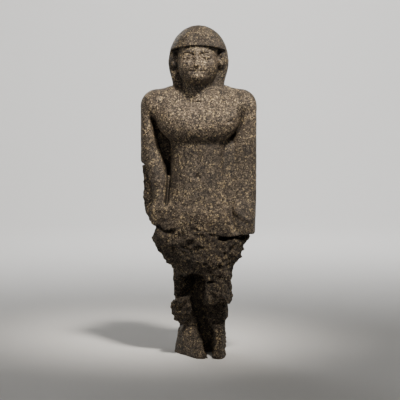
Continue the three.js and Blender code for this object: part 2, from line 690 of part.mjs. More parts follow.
function statueGeometry() {
  const deep = 2 * SQUARE;
  const ground = new THREE.BoxGeometry(10 * SQUARE, 10 * SQUARE, deep).translate(0, 0, -deep / 2);
  const geometry = geometryOf(solidOf(carvedStone()).subtract(solidOf(ground)));
  geometry.computeBoundingBox();
  const middle = geometry.boundingBox.getCenter(new THREE.Vector3());
  return geometry.translate(-middle.x, -middle.y, 0);
}

const statue = new THREE.Mesh(
  statueGeometry(),
  new THREE.MeshStandardMaterial({ color: 0x5a5148, roughness: 0.78, metalness: 0 }),
);
statue.name = "statue";

const noble = new THREE.Group();
noble.add(statue);

export default noble;
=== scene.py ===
"""An Egyptian noble of dark speckled granite, broken below the hands, with a round wig and a back pillar."""

import math

import bmesh
import bpy
import numpy as np
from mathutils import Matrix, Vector


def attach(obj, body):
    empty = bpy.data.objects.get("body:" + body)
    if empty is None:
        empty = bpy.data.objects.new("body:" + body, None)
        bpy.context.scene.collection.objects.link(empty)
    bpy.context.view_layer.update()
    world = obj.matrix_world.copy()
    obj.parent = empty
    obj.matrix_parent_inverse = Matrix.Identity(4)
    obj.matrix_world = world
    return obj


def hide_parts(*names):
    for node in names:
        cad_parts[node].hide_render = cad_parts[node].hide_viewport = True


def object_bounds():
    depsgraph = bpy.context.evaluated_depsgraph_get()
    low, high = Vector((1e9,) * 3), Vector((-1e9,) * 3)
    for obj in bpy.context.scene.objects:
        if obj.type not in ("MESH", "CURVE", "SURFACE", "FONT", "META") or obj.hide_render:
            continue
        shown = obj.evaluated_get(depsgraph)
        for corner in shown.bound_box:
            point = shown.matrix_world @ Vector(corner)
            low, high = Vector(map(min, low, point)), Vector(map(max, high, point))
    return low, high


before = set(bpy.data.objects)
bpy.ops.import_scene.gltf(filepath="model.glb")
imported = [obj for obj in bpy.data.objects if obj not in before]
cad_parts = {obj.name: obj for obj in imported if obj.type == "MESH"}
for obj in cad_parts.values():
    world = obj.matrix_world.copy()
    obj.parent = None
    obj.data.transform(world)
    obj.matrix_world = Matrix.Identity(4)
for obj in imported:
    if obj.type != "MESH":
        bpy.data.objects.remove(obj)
cad_low, cad_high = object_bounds()
solid_low = np.array(cad_low)
solid_span = np.array(cad_high) - solid_low

# The carver's grid: the figure's forms are in its squares, counted up from the underside, as in the solid
CHIN = 13.98
FACE_HEIGHT = 1.76  # chin to the wig's fringe
CROWN_HEIGHT = 1.11  # fringe to the crown
FRINGE = CHIN + FACE_HEIGHT
SQUARES_HIGH = FRINGE + CROWN_HEIGHT
SQUARE = (cad_high.z - cad_low.z) / SQUARES_HIGH

# The back pillar, in metres
PILLAR_WIDTH = 0.124
PILLAR_HEIGHT = 0.846  # underside to the pillar's top
PILLAR_BACK = 0.104  # middle of the body to the pillar's back
PILLAR_EDGE_RADIUS = 0.005

# Where the forms end, in squares
UNDERGROUND = 0.6  # how far the pillar goes on below the cut of the underside
TRUNK_BREAK = 4.2
TRUNK_TOP = 13.7
ARM_TOP = 12.9
PILLAR_FRONT = 0.66  # in the recess between the legs

# How finely the surface is sampled and how many triangles are kept
CELL = 0.0022  # metres
STEP = CELL / SQUARE  # a cell in squares
BLOCK = 4  # cells in a block, the step in which empty space is skipped
SLACK = 0.12  # squares by which the distance at a block's middle may be out
JUST_INSIDE = -1e-4
TRIANGLES = 190000


# Joins of distances, all in squares. A softness is how wide the rounding is.


def join(a, b, softness):
    h = np.maximum(softness - np.abs(a - b), 0) / softness
    return np.minimum(a, b) - h * h * softness / 4


def keep_both(a, b, softness):
    return -join(-a, -b, softness)


def mix(a, b, t):
    return a + (b - a) * t


def ramp(start, end, value):
    """0 up to the start, 1 from the end, and smooth between them; the end may be the lower one."""
    t = np.clip((value - start) / (end - start), 0, 1)
    return t * t * (3 - 2 * t)


def bump(value, middle, width):
    """1 at the middle, and next to nothing from two widths away."""
    return np.exp(-(((value - middle) / width) ** 2))


def profile(*pairs):
    """A smooth curve by height through (height, value) pairs, which never overshoots them."""
    heights, values = np.array(pairs, float).T
    spans = np.diff(heights)
    slopes = np.diff(values) / spans
    product = slopes[:-1] * slopes[1:]
    total = slopes[:-1] + slopes[1:]
    inner = np.where(product > 0, 2 * product / np.where(total == 0, 1, total), 0)
    tangents = np.concatenate([slopes[:1], inner, slopes[-1:]])

    def curve(z):
        at = np.clip(z, heights[0], heights[-1])
        i = np.clip(np.searchsorted(heights, at, side="left") - 1, 0, len(spans) - 1)
        t = (at - heights[i]) / spans[i]
        bend = t * (1 - t) * spans[i]
        level = mix(values[i], values[i + 1], t * t * (3 - 2 * t))
        return level + bend * ((1 - t) * tangents[i] - t * tangents[i + 1])

    return curve


# Distances to plain forms


def section(x, y, left, right, front, back, squareness):
    """A rounded oblong section from left to right and from front to back; squareness 2 is an ellipse."""
    dx = np.abs(x - (left + right) / 2)
    dy = np.abs(y - (back - front) / 2)
    wide = (2 * dx / (right - left)) ** squareness
    deep = (2 * dy / (front + back)) ** squareness
    reach = np.maximum((wide + deep) ** (1 / squareness), 1e-3)
    out = np.hypot(dx, dy)
    narrow = np.minimum(right - left, front + back) / 2
    return np.where(out < 1e-3, -narrow, out - out / reach)


def egg(x, y, z, centre, radii):
    """An egg round its centre, with a radius along each axis."""
    px = (x - centre[0]) / radii[0]
    py = (y - centre[1]) / radii[1]
    pz = (z - centre[2]) / radii[2]
    reach = np.sqrt(px * px + py * py + pz * pz)
    slope = np.sqrt((px / radii[0]) ** 2 + (py / radii[1]) ** 2 + (pz / radii[2]) ** 2)
    return reach * (reach - 1) / np.maximum(slope, 1e-6)


def limb(x, y, z, start, end, start_radius, end_radius):
    """A limb between two points, with a radius at each."""
    ax, ay, az = (e - s for s, e in zip(start, end))
    px, py, pz = x - start[0], y - start[1], z - start[2]
    t = np.clip((px * ax + py * ay + pz * az) / (ax * ax + ay * ay + az * az), 0, 1)
    away = np.sqrt((px - ax * t) ** 2 + (py - ay * t) ** 2 + (pz - az * t) ** 2)
    return away - mix(start_radius, end_radius, t)


def block(x, y, z, low, high, radius):
    """A block between two opposite corners, with rounded edges."""
    reach = [
        np.abs(p - (a + b) / 2) - (b - a) / 2 + radius
        for p, a, b in zip((x, y, z), low, high)
    ]
    outside = np.sqrt(sum(np.maximum(r, 0) ** 2 for r in reach))
    return outside + np.minimum(np.maximum.reduce(reach), 0) - radius


# Lumps of a broken surface: smooth random values on a lattice, from -1 to 1

NEIGHBOURS = [(a, b, c) for a in (-1, 0, 1) for b in (-1, 0, 1) for c in (-1, 0, 1)]
SCATTER = 0.45  # how far a facet's middle may lie from its cell's, in cells


def lattice(i, j, k):
    """A random value for each point of a lattice, always the same one."""
    s = np.sin(i * 127.1 + j * 311.7 + k * 74.7) * 43758.5453
    return 2 * (s - np.floor(s)) - 1


def lumps(x, y, z):
    i, j, k = np.floor(x), np.floor(y), np.floor(z)
    u, v, w = ramp(0, 1, x - i), ramp(0, 1, y - j), ramp(0, 1, z - k)

    def edge(b, c):
        return mix(lattice(i, j + b, k + c), lattice(i + 1, j + b, k + c), u)

    return mix(mix(edge(0, 0), edge(1, 0), v), mix(edge(0, 1), edge(1, 1), v), w)


def facets(x, y, z):
    """Flat faces at random tilts, one round each of many scattered points, with steps where they meet."""
    i, j, k = np.floor(x), np.floor(y), np.floor(z)
    nearest = np.full(x.shape, np.inf)
    height = np.zeros(x.shape)
    for a, b, c in NEIGHBOURS:
        ci, cj, ck = i + a, j + b, k + c
        dx = x - ci - 0.5 - SCATTER * lattice(ci, cj, ck)
        dy = y - cj - 0.5 - SCATTER * lattice(ci, cj, ck + 31)
        dz = z - ck - 0.5 - SCATTER * lattice(ci, cj + 57, ck)
        away = dx * dx + dy * dy + dz * dz
        closer = away < nearest
        nearest = np.where(closer, away, nearest)
        level = lattice(ci + 83, cj, ck)
        tilted = 0.5 * level + dx * lattice(ci, cj + 11, ck) + dz * (level + 0.5)
        height = np.where(closer, tilted, height)
    return height


def fracture(x, y, z):
    """How far a broken surface stands back from its plain form: lumps, crests, broken faces and pits."""
    large = 0.15 * lumps(1.7 * x, 1.7 * y, 1.7 * z) + 0.08 * lumps(3.6 * x, 3.6 * y, 3.6 * z + 9)
    crests = 0.12 * np.abs(lumps(2.6 * x + 7, 2.6 * y, 3.4 * z)) - 0.05
    faces = 0.045 * facets(3.9 * x, 3.9 * y, 4.6 * z)
    pits = 0.03 * ramp(0.1, 0.7, lumps(6 * x, 6 * y, 7 * z + 4))
    grains = 0.034 * lumps(8 * x, 8 * y, 9 * z + 2) + 0.02 * lumps(14 * x, 14 * y, 15 * z)
    return large + crests + faces + pits + grains


# The trunk: half width, front and back by height

trunk_half = profile(
    (4.5, 1.0), (5.2, 1.5), (6.0, 1.72), (7.0, 1.74), (8.0, 1.62), (8.8, 1.52), (9.6, 1.45), (10.4, 1.41),
    (10.9, 1.45), (11.2, 1.62), (11.6, 1.9), (12.1, 2.2), (12.7, 2.3), (13.2, 2.1), (13.7, 1.5),
)
trunk_front = profile(
    (4.5, 1.0), (6.0, 1.12), (7.0, 1.1), (8.0, 1.0), (9.0, 0.95), (10.0, 0.93), (10.85, 0.95),
    (11.03, 1.06), (11.25, 1.2), (11.6, 1.27), (12.2, 1.17), (12.8, 0.97), (13.3, 0.79), (13.7, 0.62),
)
trunk_back = profile(
    (4.5, 0.8), (6.0, 1.1), (7.0, 1.15), (8.0, 0.95), (9.0, 0.78), (10.0, 0.74), (11.0, 0.86),
    (12.0, 1.0), (13.0, 0.85), (13.7, 0.6),
)


def trunk(x, y, z):
    half = trunk_half(z)
    d = section(x, y, -half, half, trunk_front(z), trunk_back(z), 2.5)
    d = keep_both(d, z - TRUNK_TOP, 0.3)
    chest = egg(np.abs(x), y, z, (0.84, -0.36, 11.98), (1.26, 0.9, 0.98))
    d = join(d, keep_both(chest, 11.04 + 0.06 * np.abs(x) - z, 0.12), 0.2)
    in_front = ramp(0, -0.6, y)
    midline = bump(x, 0, 0.14) * ramp(9.4, 10.0, z) * ramp(11.0, 10.6, z)
    navel = bump(x, 0, 0.11) * bump(z, 9.15, 0.13)
    return d + in_front * (0.035 * midline + 0.1 * navel)


def shoulders(x, y, z):
    side = np.abs(x)
    yoke = limb(side, y, z, (0, 0.12, 13.36), (2.15, 0.02, 12.95), 0.62, 0.64)
    ball = egg(side, y, z, (2.3, 0, 12.78), (0.67, 0.7, 0.7))
    return join(yoke, ball, 0.2)


# The figure's right arm hangs clear of the waist; its elbow is chipped and its forearm and fist are worn.
# The underside of the fist is broken off at a slant.

right_arm_inner = profile(
    (9.2, -1.52), (9.7, -1.72), (10.1, -1.88), (10.5, -2.02), (11.35, -2.2), (12.06, -2.34),
    (12.6, -2.1), (13.0, -1.9),
)


def right_arm(x, y, z):
    upper = section(x, y, -2.97, right_arm_inner(z), 0.56, 0.54, 2.3)
    elbow_break = 9.62 + 0.35 * (-2.3 - x) - z
    upper = keep_both(keep_both(upper, z - ARM_TOP, 0.4), elbow_break, 0.15)
    elbow = limb(x, y, z, (-2.36, -0.06, 10.2), (-1.96, -0.38, 8.9), 0.48, 0.44)
    wrist = limb(x, y, z, (-1.96, -0.38, 8.9), (-1.93, -0.46, 7.6), 0.44, 0.4)
    forearm = join(elbow, wrist, 0.1)
    fist = block(x, y, z, (-2.46, -1.0, 6.55), (-1.44, 0.3, 7.75), 0.32)
    fist_break = 6.42 - (x + 1.95) - z
    return join(join(upper, forearm, 0.12), keep_both(fist, fist_break, 0.08), 0.25)


# The stone left behind the forearm, where its outer side has broken away

stub_outer = profile((6.6, -2.5), (7.0, -2.7), (7.5, -2.78), (8.4, -2.8), (9.2, -2.88), (9.8, -2.94))


def slant(x, z):
    """The slanting edge below the right forearm."""
    return 7.35 - 1.35 * (x + 2.75) - z


def right_stub(x, y, z):
    front = mix(0.46, 0.3, ramp(8.2, 9.6, z))
    d = section(x, y, stub_outer(z), -1.7, front, 0.52, 3)
    return keep_both(keep_both(d, z - 9.75, 0.1), slant(x, z), 0.08)


# The figure's left arm is a broad upright mass down to the broken fist.

left_arm_inner = profile((6.3, 1.6), (7.5, 1.62), (10.5, 1.66), (11.3, 1.84), (12.0, 2.1), (12.8, 1.9))
left_arm_outer = profile((6.3, 2.91), (7.4, 2.95), (8.6, 2.97), (12.6, 2.97))
left_arm_front = profile(
    (6.1, 1.0), (6.6, 1.04), (7.4, 0.92), (8.1, 0.68), (9.6, 0.57), (11, 0.57), (12.6, 0.6),
)


def left_arm(x, y, z):
    d = section(x, y, left_arm_inner(z), left_arm_outer(z), left_arm_front(z), 0.54, 2.4)
    thumb = limb(x, y, z, (1.98, -0.86, 7.42), (2.46, -0.94, 7.0), 0.14, 0.12)
    fist_break = 6.14 + 0.1 * (x - 1.2) + 0.08 * lumps(3 * x, 3 * y, 0.5) - z
    return keep_both(keep_both(join(d, thumb, 0.12), z - ARM_TOP, 0.4), fist_break, 0.06)


# The stone left standing between each arm and the body: deep on the right, nearly flush on the left

left_web_front = profile(
    (6.4, 0.74), (8.0, 0.62), (9.3, 0.55), (10.2, 0.5), (10.75, 0.44), (11.1, 0.2), (11.5, -0.05),
)


def webs(x, y, z):
    right = block(x, y, z, (-2.7, 0.3, 6.6), (-0.8, 0.56, 12.4), 0.1)
    left = section(x, y, 0.8, 2.6, left_web_front(z), 0.56, 4)
    left = keep_both(keep_both(left, z - 12.2, 0.2), 6.3 - z, 0.1)
    return join(keep_both(right, slant(x, z), 0.08), left, 0.1)


def chips(x, y, z):
    """The chip at the left armpit, and the crack where the right elbow has broken away."""
    armpit = limb(x, y, z, (1.58, -1.1, 11.9), (1.86, -0.96, 12.02), 0.07, 0.05)
    armpit = np.minimum(armpit, limb(x, y, z, (1.86, -0.97, 12.02), (2.0, -0.82, 11.84), 0.06, 0.07))
    crack = limb(x, y, z, (-2.98, -0.62, 9.72), (-2.48, -0.72, 9.36), 0.05, 0.05)
    crack = np.minimum(crack, limb(x, y, z, (-2.48, -0.7, 9.36), (-2.18, -0.88, 8.42), 0.06, 0.03))
    return np.minimum(armpit, crack)


def forearm_line(x, y, z):
    """The groove that goes on down from the gap between the right arm and the waist."""
    beside = x - mix(-1.48, -1.6, ramp(9.3, 7.6, z))
    return 0.16 * bump(beside, 0, 0.07) * ramp(7.4, 7.8, z) * ramp(9.6, 9.2, z) * ramp(-0.3, -0.6, y)


# The broken kilt and hips: a rough mass that overhangs the legs, and comes forward over the left one,
# which is advanced

hips_left = profile(
    (3.9, -0.95), (4.4, -1.12), (4.7, -1.38), (5.1, -1.76), (5.5, -2.02), (5.8, -2.26), (6.1, -2.38),
    (6.6, -2.2), (7.4, -1.7),
)
hips_right = profile(
    (3.9, 1.66), (4.4, 1.76), (4.7, 1.9), (5.1, 2.1), (5.4, 2.24), (5.9, 2.5), (6.12, 2.62),
    (6.6, 2.2), (7.4, 1.7),
)
hips_front = profile((3.9, 1.0), (4.5, 1.3), (5.2, 1.46), (6.2, 1.42), (7.2, 1.26), (8.0, 1.08))


def hips(x, y, z):
    stride = 0.34 * ramp(-0.6, 0.9, x) * ramp(6.8, 4.6, z)
    d = section(x, y, hips_left(z), hips_right(z), hips_front(z) + stride, 0.9, 2.1)
    ledge = 4.32 - 0.3 * ramp(-0.2, 1.0, x) + 0.12 * lumps(3 * x, 3 * y, 5.5) - z
    return keep_both(keep_both(d, z - 7.6, 0.3), ledge, 0.08)


# The right leg stands against the pillar. Its shin is broken back to a ragged stump, and its foot is worn
# to a wedge that slopes from the ankle to the big toe.

FOOT_OUTER = (-1.12, 0.3)
FOOT_TOE = (0.12, -1.62)
FOOT_INNER = (0.02, 0.0)
FOOT_BALL = (0.4, -1.4)


def right_of(x, y, start, end):
    """How far a point in plan lies to the right of the way from one point to another."""
    run = math.hypot(end[0] - start[0], end[1] - start[1])
    return ((x - start[0]) * (end[1] - start[1]) - (y - start[1]) * (end[0] - start[0])) / run


def right_foot(x, y, z):
    outer = right_of(x, y, FOOT_OUTER, FOOT_TOE) + 0.15 * (z - 0.75)
    inner = -right_of(x, y, FOOT_INNER, FOOT_BALL)
    instep = (z - 0.3 + 0.78 * (FOOT_TOE[1] - y)) / math.hypot(1, 0.78)
    ends = np.maximum(y - 0.5, FOOT_TOE[1] - y)
    return keep_both(keep_both(keep_both(outer, inner, 0.25), instep, 0.3), ends, 0.2)


def right_leg(x, y, z):
    thigh = limb(x, y, z, (-0.8, 0.4, 4.8), (-0.86, 0.3, 3.0), 0.58, 0.42)
    stump = section(x, y, -1.38, -0.4, 0.9 + 0.3 * (z - 2.4), 0.4, 2.8)
    ends = np.abs(z - 2.3 - 0.4 * (x + 0.9)) - 0.62
    broken_side = (2.1 - 2 * (x + 1.4) - z) / math.sqrt(5)
    shin = keep_both(keep_both(stump, ends, 0.2), broken_side, 0.1)
    ankle = limb(x, y, z, (-0.72, 0.1, 2.1), (-0.46, -0.1, 0.9), 0.42, 0.36)
    leg = join(join(thigh, shin, 0.15), ankle, 0.2)
    notch = egg(x, y, z, (-1.2, -0.2, 1.52), (0.46, 0.8, 0.26))
    return keep_both(join(leg, keep_both(right_foot(x, y, z), z - 1.5, 0.2), 0.15), -notch, 0.1)


# The left leg has lost its shin and foot: the knee juts over the ragged edge of the wall behind it.

wall_front = profile((-0.6, 1.6), (0.2, 1.5), (0.9, 1.3), (1.45, 1.0), (1.9, 0.55), (2.7, 0.45), (3.2, 0.7))
wall_inner = profile((-0.6, 0.74), (1.2, 0.86), (2.0, 0.52), (2.6, 0.5), (3.2, 0.62))
wall_outer = profile((-0.6, 1.36), (1.6, 1.36), (2.2, 1.5), (3.2, 1.4))


def left_leg(x, y, z):
    knee = keep_both(section(x, y, 0.42, 1.64, 1.62, 0.6, 2.6), np.abs(z - 3.9) - 1.08, 0.15)
    wall = section(x, y, wall_inner(z), wall_outer(z), wall_front(z), 0.9, 4)
    return join(knee, keep_both(wall, z - 3.4, 0.1), 0.1)


leg_web_outer = profile((0.0, -1.0), (0.6, -1.1), (1.1, -1.02), (1.55, -0.78), (2.2, -0.9), (4.0, -1.1))


def leg_web(x, y, z):
    """The stone between the legs and the pillar."""
    d = section(x, y, leg_web_outer(z), 1.3, -0.62, 1.0, 5)
    return keep_both(d, z - 5.0, 0.1)


def pillar(x, y, z):
    half = PILLAR_WIDTH / 2 / SQUARE
    low = (-half, PILLAR_FRONT, -UNDERGROUND)
    high = (half, PILLAR_BACK / SQUARE, PILLAR_HEIGHT / SQUARE)
    return block(x, y, z, low, high, PILLAR_EDGE_RADIUS / SQUARE)


# The wig: a round cap with a straight fringe, open in front below it, that hangs to the shoulders behind
# the ears

WIDEST = FRINGE - 0.66  # the level at which it is widest
WIG_END = 13.28
wig_half = profile((13.4, 1.26), (13.8, 1.3), (14.3, 1.4), (14.7, 1.48), (15.1, 1.52))


def wig(x, y, z):
    crown = egg(x, y, z, (0, 0.04, WIDEST), (1.52, 1.5, SQUARES_HIGH - WIDEST))
    half = wig_half(z)
    fall = section(x, y, -half, half, 1.4, 1.34, 2.2)
    fall = keep_both(fall, np.maximum(z - WIDEST, WIG_END - z), 0.1)
    edge = FRINGE - 0.12 * np.minimum(np.abs(x) / 1.1, 1.3) ** 2
    opening = keep_both(z - edge, y + 0.42, 0.1)
    return keep_both(join(crown, fall, 0.12), -opening, 0.06)


# The face: calm, even and worn, laid out from its own height between the fringe and the chin

FACE_FRONT = -1.3
HEAD_TILT = 0.09  # how far the chin comes forward, for each square below the eyes
EYE_OUT = 0.42  # middle of the face to the middle of an eye
EYE_HALF = 0.25  # half an eye's width


def face_level(share):
    return CHIN + share * FACE_HEIGHT


def face_relief(side, y, z):
    """The low carving of the face: how far it stands out of the plain form."""
    along = (side - EYE_OUT) / EYE_HALF
    tilt = 0.03 * along
    above = z - face_level(0.68) - tilt
    lid = 0.105 * np.maximum(1 - along * along, 0)
    outline = np.abs(above) - lid
    near_eye = ramp(1.5, 1.1, np.abs(along))
    rim = near_eye * (0.035 * bump(outline, 0.02, 0.022) - 0.03 * bump(outline, -0.02, 0.016))
    arc = z - face_level(0.83) + 0.055 * np.maximum(along, -1) ** 2
    brow = 0.03 * bump(arc, 0, 0.045) * ramp(1.55, 1.25, along) * ramp(-1.15, -0.9, along)
    mouth_curve = z - face_level(0.265) - 0.1 * side * side
    mouth = -0.05 * bump(mouth_curve, 0, 0.022) * ramp(0.38, 0.3, side)
    corner = -0.03 * bump(side, 0.36, 0.05) * bump(z, face_level(0.272), 0.05)
    philtrum = -0.02 * bump(side, 0, 0.035) * ramp(face_level(0.33), face_level(0.35), z)
    philtrum = philtrum * ramp(face_level(0.4), face_level(0.37), z)
    return (rim + brow + mouth + corner + philtrum) * ramp(-0.55, -0.85, y)


def face(x, y, z):
    side = np.abs(x)
    y = y + HEAD_TILT * (face_level(0.8) - z)
    skull = egg(x, y, z, (0, -0.28, face_level(0.72)), (1.05, 1.06, 1.5))
    jaw = egg(x, y, z, (0, -0.46, face_level(0.33)), (0.84, 0.88, 0.74))
    chin = egg(x, y, z, (0, -1.06, face_level(0.12)), (0.38, 0.32, 0.24))
    cheek = egg(side, y, z, (0.5, -0.86, face_level(0.46)), (0.36, 0.34, 0.36))
    d = join(join(join(skull, jaw, 0.4), chin, 0.25), cheek, 0.3)
    socket = egg(side, y, z, (EYE_OUT, FACE_FRONT - 0.06, face_level(0.69)), (0.36, 0.16, 0.18))
    d = keep_both(d, -socket, 0.2)
    eye = egg(side, y, z, (EYE_OUT, FACE_FRONT + 0.22, face_level(0.68)), (0.26, 0.17, 0.12))
    nose_top = (0, FACE_FRONT + 0.07, face_level(0.8))
    nose_end = (0, FACE_FRONT - 0.08, face_level(0.47))
    bridge = limb(x, y, z, nose_top, nose_end, 0.1, 0.13)
    tip = egg(x, y, z, (0, FACE_FRONT - 0.1, face_level(0.45)), (0.13, 0.12, 0.11))
    wing = egg(side, y, z, (0.15, FACE_FRONT + 0.02, face_level(0.43)), (0.1, 0.13, 0.085))
    nose = join(join(bridge, tip, 0.08), wing, 0.05)
    d = join(join(d, eye, 0.08), nose, 0.08)
    upper_lip = egg(x, y, z, (0, FACE_FRONT + 0.14, face_level(0.3)), (0.34, 0.19, 0.085))
    lower_lip = egg(x, y, z, (0, FACE_FRONT + 0.16, face_level(0.225)), (0.28, 0.18, 0.09))
    d = join(d, join(upper_lip, lower_lip, 0.03), 0.07)
    return d - face_relief(side, y, z)


def ears(x, y, z):
    side = np.abs(x)
    shell = egg(side, y, z, (1.17, -0.42, face_level(0.6)), (0.27, 0.2, 0.42))
    hollow = egg(side, y, z, (1.18, -0.66, face_level(0.64)), (0.15, 0.14, 0.24))
    inner = egg(side, y, z, (1.08, -0.58, face_level(0.58)), (0.06, 0.06, 0.1))
    return join(keep_both(shell, -hollow, 0.06), inner, 0.04)


def head(x, y, z):
    neck = limb(x, y, z, (0, 0.02, 12.9), (0, -0.08, face_level(0.35)), 0.98, 0.8)
    flesh = join(join(face(x, y, z), neck, 0.12), ears(x, y, z), 0.06)
    return join(flesh, wig(x, y, z), 0.03)


def undercuts(x, y, z):
    """The deep cuts below the two fists, where the rough stone begins, and the one above the knee."""
    right = limb(x, y, z, (-2.85, -0.5, 6.95), (-1.35, -1.2, 6.3), 0.2, 0.12)
    left = egg(x, y, z, (2.2, -1.05, 6.1), (1.05, 0.62, 0.14))
    above_knee = egg(x, y, z, (0.55, -1.5, 3.88), (0.55, 0.5, 0.16))
    return np.minimum(np.minimum(right, left), above_knee)


def damage(x, y, z):
    """How broken the surface is, from 0 on the skin to 1 on the fractures; the pillar's sides stay sound."""
    by_height = 0.12 * ramp(10.2, 8.6, z) + 0.28 * ramp(8.2, 6.9, z) + 0.6 * ramp(6.9, 6.0, z)
    sound_arm = 1 - ramp(1.5, 2.0, x) * ramp(6.05, 6.35, z)
    sound_foot = 1 - 0.7 * ramp(1.75, 1.3, z) * ramp(0.6, 0.3, x)
    broken_forearm = 0.6 * ramp(-2.35, -2.55, x) * ramp(9.9, 9.5, z)
    hidden = ramp(0.6, -0.3, y)
    return np.maximum(by_height * sound_arm * sound_foot, broken_forearm) * hidden


def stone(x, y, z):
    """The distance to the surface of the whole stone, less than 0 inside it."""
    lowest, highest = z.min(), z.max()
    d = join(trunk(x, y, z), shoulders(x, y, z), 0.3)
    if highest > 13:
        d = join(d, head(x, y, z), 0.08)
    if highest > 5.5 and lowest < 13.6:
        blend = mix(0.3, 0.08, ramp(8.8, 9.6, z))
        d = join(d, right_arm(x, y, z), blend)
        d = join(d, left_arm(x, y, z), 0.1)
        d = join(d, join(right_stub(x, y, z), webs(x, y, z), 0.1), 0.06)
        d = keep_both(d + forearm_line(x, y, z), -chips(x, y, z), 0.04)
    if lowest < 8:
        cut = keep_both(d, TRUNK_BREAK - z, 0.1)
        low = join(cut, hips(x, y, z), 0.15)
        low = join(low, join(right_leg(x, y, z), left_leg(x, y, z), 0.1), 0.12)
        low = join(low, leg_web(x, y, z), 0.1)
        low = keep_both(low, -undercuts(x, y, z), 0.06)
        d = np.where(z < 8, low, d)
    d = join(d, pillar(x, y, z), 0.06)
    broken = damage(x, y, z)
    rough = (broken > 0.01) & (np.abs(d) < 0.8)
    d[rough] += broken[rough] * fracture(x[rough], y[rough], z[rough])
    uneven = 0.008 * lumps(5 * x + 40, 5 * y, 5 * z)
    fine = 0.006 * lumps(11 * x + 20, 11 * y, 11 * z)
    return np.maximum(d + uneven + fine, -z)


# From the distance to a mesh


def sample(low, high):
    """The distance on a lattice of cells, worked out only in the blocks that the surface may pass through."""
    counts = np.ceil((high - low) / (STEP * BLOCK)).astype(int)
    inner = np.arange(BLOCK) * STEP
    ix, iy, iz = (a.ravel() for a in np.meshgrid(inner, inner, inner, indexing="ij"))
    across = [low[a] + (np.arange(counts[a]) * BLOCK) * STEP for a in range(3)]
    middle = (BLOCK - 1) * STEP / 2
    near = BLOCK * STEP * 1.5 + SLACK
    values = np.empty(counts * BLOCK, np.float32)
    bx, by = (a.ravel() for a in np.meshgrid(across[0], across[1], indexing="ij"))
    for k, bz in enumerate(across[2]):
        coarse = stone(bx + middle, by + middle, np.full(bx.shape, bz + middle))
        layer = np.repeat(coarse[:, None], BLOCK**3, axis=1)
        active = np.flatnonzero(np.abs(coarse) < near)
        if len(active):
            px = (bx[active, None] + ix).ravel()
            py = (by[active, None] + iy).ravel()
            pz = (bz + iz)[None, :].repeat(len(active), axis=0).ravel()
            layer[active] = stone(px, py, pz).reshape(len(active), -1)
        layer = layer.reshape(counts[0], counts[1], BLOCK, BLOCK, BLOCK)
        layer = layer.transpose(0, 2, 1, 3, 4).reshape(counts[0] * BLOCK, counts[1] * BLOCK, BLOCK)
        values[:, :, k * BLOCK : (k + 1) * BLOCK] = layer
    return values


# A cell's corners, and its edges as pairs of them
CORNERS = np.array([(c & 1, (c >> 1) & 1, c >> 2) for c in range(8)])
EDGES = [(m, m | bit) for m in range(8) for bit in (1, 2, 4) if not m & bit]


def hangs_together(corners):
    """Whether a set of a cell's corners, given as bits, hangs together along the cell's edges."""
    reached = corners & -corners
    for _ in range(7):
        for m in range(8):
            if reached >> m & 1:
                for bit in (1, 2, 4):
                    reached |= corners & (1 << (m ^ bit))
    return reached == corners


def crossed_cells(flat, offsets, cells):
    """The bits of each cell's inside corners, and the cells that the surface passes through."""
    bits = np.zeros(len(cells), np.int16)
    for m, offset in enumerate(offsets):
        bits |= (flat[cells + offset] < 0).astype(np.int16) << m
    crossed = (bits > 0) & (bits < 255)
    return bits[crossed], cells[crossed]


def fill_pinches(flat, offsets, cells):
    """Fills the nearest outside corner of each cell in which the surface would pinch or touch itself."""
    sound = np.array([hangs_together(c) and hangs_together(255 - c) for c in range(256)])
    while True:
        bits, crossed = crossed_cells(flat, offsets, cells)
        pinched = crossed[~sound[bits]]
        if not len(pinched):
            return crossed
        at = flat[pinched[:, None] + offsets]
        nearest = np.where(at < 0, np.inf, at).argmin(axis=1)
        flat[pinched + offsets[nearest]] = JUST_INSIDE


def crossing_middles(flat, offsets, cells):
    """The middle of the surface's crossings of each cell's edges, in cells from its first corner."""
    total = np.zeros((len(cells), 3))
    crossings = np.zeros(len(cells))
    for m, n in EDGES:
        va, vb = flat[cells + offsets[m]], flat[cells + offsets[n]]
        crossing = (va < 0) != (vb < 0)
        t = np.where(crossing, va / np.where(crossing, va - vb, 1), 0)
        total += crossing[:, None] * (CORNERS[m] + (CORNERS[n] - CORNERS[m]) * t[:, None])
        crossings += crossing
    return total / crossings[:, None]


def quads_round_edges(flat, stride, cells):
    """A quad of cells' points round each lattice edge that the surface crosses, facing out."""
    point_of = np.full(flat.shape, -1, np.int32)
    point_of[cells] = np.arange(len(cells))
    quads = []
    for axis in range(3):
        u, v = stride[(axis + 1) % 3], stride[(axis + 2) % 3]
        inside = flat[cells] < 0
        crossing = inside != (flat[cells + stride[axis]] < 0)
        here, inside = cells[crossing], inside[crossing]
        quad = np.stack([point_of[here - c] for c in (0, u, u + v, v)], axis=1)
        quad[~inside] = quad[~inside][:, ::-1]
        quads.append(quad)
    return np.concatenate(quads)


def surface(values, low):
    """One point in each cell that the surface passes through, and the quads that join them."""
    shape = values.shape
    stride = np.array([shape[1] * shape[2], shape[2], 1])
    flat = values.reshape(-1)
    offsets = CORNERS @ stride
    near = np.flatnonzero(np.abs(flat) < 3 * STEP)
    around = np.unique((near[:, None] - offsets).ravel())
    i, j, k = np.unravel_index(around, shape)
    inner = (i < shape[0] - 1) & (j < shape[1] - 1) & (k < shape[2] - 1)
    cells = fill_pinches(flat, offsets, around[inner])
    origin = np.stack(np.unravel_index(cells, shape), axis=1)
    points = low + (origin + crossing_middles(flat, offsets, cells)) * STEP
    return points, quads_round_edges(flat, stride, cells)


